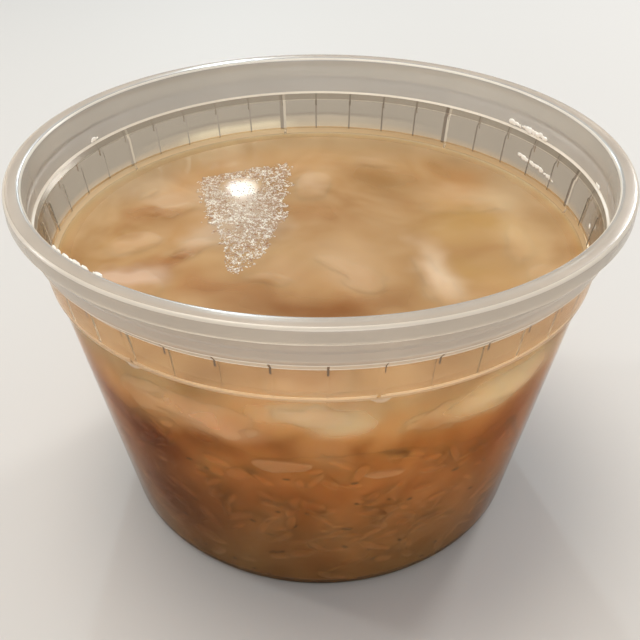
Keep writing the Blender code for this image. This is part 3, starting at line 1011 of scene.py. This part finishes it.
def fine_copy(node, voxel, rounds):
    """Points, normals and faces of a CAD node, remeshed and rounded, in millimetres."""
    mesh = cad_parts[node].data.copy()
    copy = bpy.data.objects.new(node + "_fine", mesh)
    scene.collection.objects.link(copy)
    remesh = copy.modifiers.new("remesh", "REMESH")
    remesh.mode = "VOXEL"
    remesh.voxel_size = voxel * MM
    smooth = copy.modifiers.new("smooth", "SMOOTH")
    smooth.iterations = rounds
    graph = bpy.context.evaluated_depsgraph_get()
    fine = bpy.data.meshes.new_from_object(copy.evaluated_get(graph))
    points = [v.co / MM for v in fine.vertices]
    normals = [v.normal.copy() for v in fine.vertices]
    faces = [tuple(p.vertices) for p in fine.polygons]
    bpy.data.objects.remove(copy)
    bpy.data.meshes.remove(mesh)
    bpy.data.meshes.remove(fine)
    return points, normals, faces


core_points, core_normals, core_faces = fine_copy("rice_bed", CORE_VOXEL, 4)
core_points = [p - n * (CORE_INSET - CORE_RELIEF * noise.noise(p / 3.0))
               for p, n in zip(core_points, core_normals)]
mesh_object("rice_core", core_points, core_faces,
            rice_finish("rice_core", (0.0, 0.08), 2.5), "rice")


# ---- Chicken ---------------------------------------------------------------------
# Poached breast, torn into soft lumps whose strands run along them.  Six show at the
# wall or near the top and stand where the solids are.  The others are wholly sunk and
# show only as pale shapes under the surface.
MEAT_VOXEL = 0.8
BEHIND = 0.12           # how far the meat stays behind the wall
SOFTENED = 2.5          # meat nearer the wall than this is flattened towards it
SUNK_BY = 2.0           # meat that rises past this depth is bent down,
LEAST_SUNK = 0.4        # and none comes nearer to the surface than this
STRAND = (9.0, 0.9, 0.22)       # length, width and height of the meat's strands
BUNDLE = (14.0, 3.0, 0.35)      # and of the bundles that they lie in
CLEFT = (8.0, 0.45)     # sharpness and depth of the clefts between bundles


def meat_finish():
    made, tree, shader = material("poached_chicken", {
        "Roughness": 0.4, "IOR": 1.4, "Specular IOR Level": 0.2, **soft(2.5)})
    fibre = mottle(tree, 110.0, 5.0, Roughness=0.6)
    sink(tree, shader, blended(tree, fibre, (224, 186, 146), (252, 230, 202)), 1.1, fibre,
         0.2, 0.5)
    return made


chicken_finish = meat_finish()


def heading_of(points):
    """Middle of a cloud of points, and the heading in which it is longest from above."""
    middle = sum(points, Vector()) / len(points)
    away = [p - middle for p in points]
    xx = sum(p.x * p.x for p in away)
    yy = sum(p.y * p.y for p in away)
    xy = sum(p.x * p.y for p in away)
    return middle, 0.5 * math.atan2(2.0 * xy, xx - yy)


def fibrous(points, normals, seed):
    """Raises strands that run along the meat, and a few clefts between them."""
    middle, heading = heading_of(points)
    back = Matrix.Rotation(-heading, 3, "Z")
    shaped = []
    for point, normal in zip(points, normals):
        spot = back @ (point - middle)
        waves = [noise.noise(Vector((spot.x / long + seed, spot.y / wide, spot.z / wide)))
                 for long, wide, _ in (STRAND, BUNDLE)]
        cleft = max(0.0, 1.0 - CLEFT[0] * abs(waves[1]))
        rise = STRAND[2] * waves[0] + BUNDLE[2] * waves[1] - CLEFT[1] * cleft
        shaped.append(point + normal * rise)
    return shaped


def kept_behind(point):
    """Flattens meat that lies close to the wall, with a little broth before it."""
    r = math.hypot(point.x, point.y)
    inside = body_radius(point.z, WALL) - r
    if inside > SOFTENED or r == 0.0:
        return point
    share = max(0.0, inside) / SOFTENED
    goal = body_radius(point.z, WALL) - BEHIND - (SOFTENED - BEHIND) * share ** 1.2
    return Vector((point.x * goal / r, point.y * goal / r, point.z))


def kept_under(point):
    """Bends meat near the surface down, so that all of it stays sunk."""
    limit = SOUP_LEVEL - SUNK_BY
    over = point.z - limit
    if over <= 0.0:
        return point
    room = SUNK_BY - LEAST_SUNK
    return Vector((point.x, point.y, limit + room * math.tanh(over / room)))


def as_meat(points, normals, seed):
    """Gives a lump its strands and fits it under the broth and behind the wall."""
    return [kept_under(kept_behind(p)) for p in fibrous(points, normals, seed)]


all_meat = []
for index, node in enumerate(sorted(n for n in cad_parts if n.startswith("chicken"))):
    points, normals, faces = fine_copy(node, MEAT_VOXEL, 14)
    points = as_meat(points, normals, 7.0 * index)
    meat = mesh_object(node + "_meat", points, faces, chicken_finish, "chicken")
    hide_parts(node)
    all_meat.append((points, faces))

# Sunk pieces: centre, then length, depth and height, heading and tilt in degrees.
SUNK = [
    ((-24.0, -1.0, 53.9), (17, 10, 4.6), 40, 4),
    ((-32.3, 14.0, 54.1), (15, 7, 4.0), 28, 3),
    ((22.0, -13.5, 53.9), (28, 9, 5.0), -78, -3),
    ((40.5, 1.5, 53.9), (24, 8, 4.6), 88, 3),
    ((6.0, -12.5, 53.8), (24, 12, 4.8), -44, 3),
    ((43.0, -11.5, 53.9), (11, 8, 4.4), 60, 0),
    ((32.0, 18.0, 53.8), (26, 11, 4.4), 5, -3),
    ((-8.0, -14.5, 53.8), (17, 8, 4.4), -20, 3),
    ((14.0, 38.5, 53.8), (18, 8, 4.2), -12, 2),
]
SUNK += [(round_place(angle, 45.5, z), (long, 9.0, tall), angle, 7.0 if index % 2 else -5.0)
         for index, (angle, z, long, tall) in enumerate(WALL_MEAT)]


lump_ball = ball(sides=40, rings=36)


def lump(centre, size, heading, tilt, seed):
    """An oval lump of meat with soft folds, thinning out to its edge."""
    place = Matrix.Translation(centre) @ Matrix.Rotation(math.radians(heading), 4, "Z")
    place = place @ Matrix.Rotation(math.radians(tilt), 4, "Y")
    points, normals = [], []
    for spot in lump_ball[0]:
        blunt = Vector((spot.x, spot.y, math.copysign(abs(spot.z) ** 2.6, spot.z)))
        fold = 1.0 + 0.45 * noise.noise(blunt * 1.1 + Vector((seed, 0, 0)))
        fold += 0.15 * noise.noise(blunt * 2.4 + Vector((seed, 3, 0)))
        points.append(place @ Vector([b * s / 2.0 * fold for b, s in zip(blunt, size)]))
        normals.append(place.to_3x3() @ spot)
    return points, normals


sunk_pieces = []
for index, (centre, size, heading, tilt) in enumerate(SUNK):
    points, normals = lump(centre, size, heading, tilt, 5.0 * index)
    sunk_pieces.append((as_meat(points, normals, 3.0 * index), lump_ball[1]))
mesh_object("chicken_sunk", *joined(sunk_pieces), chicken_finish, "chicken")
all_meat.append(joined(sunk_pieces))


# ---- Cloudy depth ----------------------------------------------------------------
# What one cannot see through of the broth: a body a little way in from the wall and
# the surface.  It rises softly round the sunk meat, so that this fades into it.
CLOUD_FOOT = 0.4            # how deep one sees in from the wall at the foot,
CLOUD_SIDE = ((10.0, 1.0), (30.0, 1.0), (36.0, 0.7), (44.0, 0.55), (52.0, 0.6),
              (56.8, 0.25))     # at these heights, each with its depth,
CLOUD_TOP = 2.4             # and down from the surface; it is less so near the wall,
CLOUD_RIM = ((-0.35, -0.26), (0.0, -0.15), (0.5, -0.02), (1.0, 0.15), (2.0, 0.55),
             (3.2, 1.2), (5.0, 2.0))    # with these ways in from it and depths
CLOUD_COLUMNS = [1.5 * i for i in range(240)]
CLOUD_RINGS = [45.6 - 1.2 * i for i in range(38)] + [0.0]
CLOUD_UNDER_MEAT = 0.2
CLOUD_BLUR = [(0.0, 0.0)] + [(r * math.sin(a), r * math.cos(a))
                             for r in (1.0, 2.0) for a in (0.3, 1.35, 2.4, 3.45, 4.5, 5.5)]
cloud_top = SOUP_LEVEL - CLOUD_TOP
meat_points, meat_faces = joined(all_meat)
meat_surface = BVHTree.FromPolygons(meat_points, meat_faces)


def meat_height(x, y):
    hit = meat_surface.ray_cast(Vector((x, y, SOUP_LEVEL)), Vector((0, 0, -1)))[0]
    return hit.z if hit else 0.0


def cloud_shape(point):
    """Undulates the top of the cloudy depth and raises it under the meat."""
    if abs(point.z - cloud_top) > 0.1:
        return point
    base = cloud_top + 0.4 * noise.noise(Vector((point.x / 12.0, point.y / 12.0, 3.0)))
    heights = [max(base, meat_height(point.x + dx, point.y + dy) - CLOUD_UNDER_MEAT)
               for dx, dy in CLOUD_BLUR]
    return Vector((point.x, point.y, sum(heights) / len(heights)))


def cloud_finish():
    made, tree, shader = material("broth_depth", {
        "Roughness": 0.5, "IOR": 1.45, "Specular IOR Level": 0.1, **soft(3.0)})
    wired(tree, shader, {"Base Color": broth_colour(tree)})
    return made


cloud_corners = inside_wall(-CLOUD_FOOT, 6.0)
cloud_corners += [(body_radius(z, WALL + depth), z, 0) for z, depth in CLOUD_SIDE]
cloud_corners += [(body_radius(SOUP_LEVEL - depth, WALL) - inward, SOUP_LEVEL - depth, 0)
                  for inward, depth in CLOUD_RIM]
cloud_corners += [(r, cloud_top, 0) for r in CLOUD_RINGS]
mesh_object("broth_depth", *turned(rounded(cloud_corners), CLOUD_COLUMNS, cloud_shape),
            cloud_finish(), "broth")


# ---- Fat specks ------------------------------------------------------------------
# Tiny beads of fat and air on the broth, drifted together under the lamp.  Their palest
# tone is partly painted sheen of the lamp.
SPECKS = 6200
SPECK_RADII = (0.09, 0.29)
# The patch's middle and half its width at some places from its tip to the back.
PATCH = ((-17.0, -15.5, 1.4), (-11.0, -15.3, 3.2), (-2.5, -14.9, 5.0), (8.0, -16.0, 8.4),
         (20.0, -17.5, 9.4), (36.0, -18.4, 10.2))
PATCH_SIDES = (-31.0, -3.0)
PATCH_FRONT = -14.0     # the tip is cut off raggedly here
PATCH_BACK = 30.0       # and the back edge runs askew
PATCH_SKEW = 0.42
GLARE = (-17.9, 21.8, 5.0, 4.2)     # few beads lie here: place and half sizes,
GLARE_BEADS = 0.14                  # this share of them


def patch_row(y):
    """The patch's middle and half its width at a place along it."""
    for (low, start, narrow), (high, end, broad) in zip(PATCH, PATCH[1:]):
        if y <= high:
            share = (y - low) / (high - low)
            return start + (end - start) * share, narrow + (broad - narrow) * share
    return PATCH[-1][1:]


def speck_places(draw):
    made = 0
    while made < SPECKS:
        y = draw.uniform(PATCH[0][0], PATCH[-1][0])
        x = draw.uniform(*PATCH_SIDES)
        middle, half = patch_row(y)
        edge = noise.noise(Vector((x / 3.0, y / 3.0, 7.0)))
        edge += 0.5 * noise.noise(Vector((x / 0.9, y / 0.9, 4.0)))
        if abs(x - middle) > half * (1.0 + 0.35 * edge) or y < PATCH_FRONT + 7.0 * edge:
            continue
        if y > PATCH_BACK + PATCH_SKEW * (x - middle) + 1.5 * edge:
            continue
        in_glare = math.hypot((x - GLARE[0]) / GLARE[2], (y - GLARE[1]) / GLARE[3]) < 1.0
        if in_glare and draw.random() > GLARE_BEADS:
            continue
        bare = noise.noise(Vector((x / 4.0, y / 6.0, 1.0))) + 0.25
        if bare < 0.0 and draw.random() < min(0.9, -3.0 * bare):
            continue
        made += 1
        yield x, y


def speck_finish():
    made, tree, shader = material("fat_bead_and_sheen", {
        "Roughness": 0.12, "IOR": 1.4, "Coat Weight": 1.0})
    # The beads run from brown to near white; the white is partly painted sheen.
    patch = between(tree, mottle(tree, 900.0, 3.0, Roughness=0.8), 0.38, 0.60)
    wired(tree, shader, {
        "Base Color": blended(tree, patch, (164, 120, 84), (255, 252, 240))})
    return made


speck_ball = ball(6, 3)
draw = random.Random(5)
specks = []
for x, y in speck_places(draw):
    radius = draw.uniform(*SPECK_RADII) * draw.uniform(0.6, 1.0)
    place = Matrix.Translation((x, y, SOUP_LEVEL)) @ Matrix.Rotation(draw.random() * 6, 4, "Z")
    specks.append(bead(speck_ball, place, (radius, radius, 0.6 * radius)))
mesh_object("fat_specks", *joined(specks), speck_finish(), "broth")


# ---- Wet drops and painted glints ------------------------------------------------
# Drops of broth that have stayed in rows inside the rim, on the ledge and on the band.
# Each is a small flat bead that clings to the plastic, painted white and faintly
# glowing as painted glints of the lamps on the wet wall.  A row has its first and last
# angle, the height and inset from the wall at each, and how many drops it has.
DROP_ROWS = (
    ((128.0, 68.1, 0.1), (125.2, 68.0, 0.2), 22),
    ((125.0, 67.9, 0.1), (121.5, 67.8, 0.2), 12),
    ((121.5, 67.9, 0.1), (116.0, 67.9, 0.2), 26),
    ((122.5, 62.2, 0.0), (108.5, 61.0, 0.0), 46),
    ((92.5, 67.6, 0.1), (90.8, 67.5, 0.1), 9),
    ((87.0, 61.6, 0.0), (85.8, 61.2, 0.0), 5),
    ((311.0, 75.1, 0.0), (325.0, 75.1, 0.0), 26),
    ((247.0, 67.8, 0.1), (243.0, 67.8, 0.1), 5),
)
DROP_RADII = (0.28, 0.80)


# The drops are white and glow faintly: painted glints.
def glint_drop_finish():
    made, tree, shader = material("drop_painted_glint", {
        "Roughness": 0.08, "IOR": 1.34, "Coat Weight": 1.0,
        "Emission Color": paint(255, 253, 248), "Emission Strength": 0.2})
    cloud = mottle(tree, 700.0)
    wired(tree, shader, {
        "Base Color": blended(tree, cloud, (226, 218, 202), (255, 253, 246))})
    return made


drops = []
for first, last, count in DROP_ROWS:
    for index in range(count):
        share = draw.random()
        angle, z, inset = [a + (b - a) * share for a, b in zip(first, last)]
        radius = draw.uniform(*DROP_RADII) * draw.uniform(0.5, 1.0)
        r = wall_radius(z) - WALL - inset + draw.uniform(-0.05, 0.05)
        turn = Matrix.Rotation(math.radians(angle), 4, "Z")
        place = turn @ Matrix.Translation((0.0, -r, z + draw.gauss(0.0, 0.12)))
        drops.append(bead(grain_ball, place, (1.2 * radius, 0.35 * radius, 0.8 * radius)))
drop_points, drop_faces = joined(drops)
drop_points = [Vector((p.x, p.y, min(p.z, HEIGHT))) for p in drop_points]
mesh_object("drops_painted_glints", drop_points, drop_faces, glint_drop_finish(), "broth")
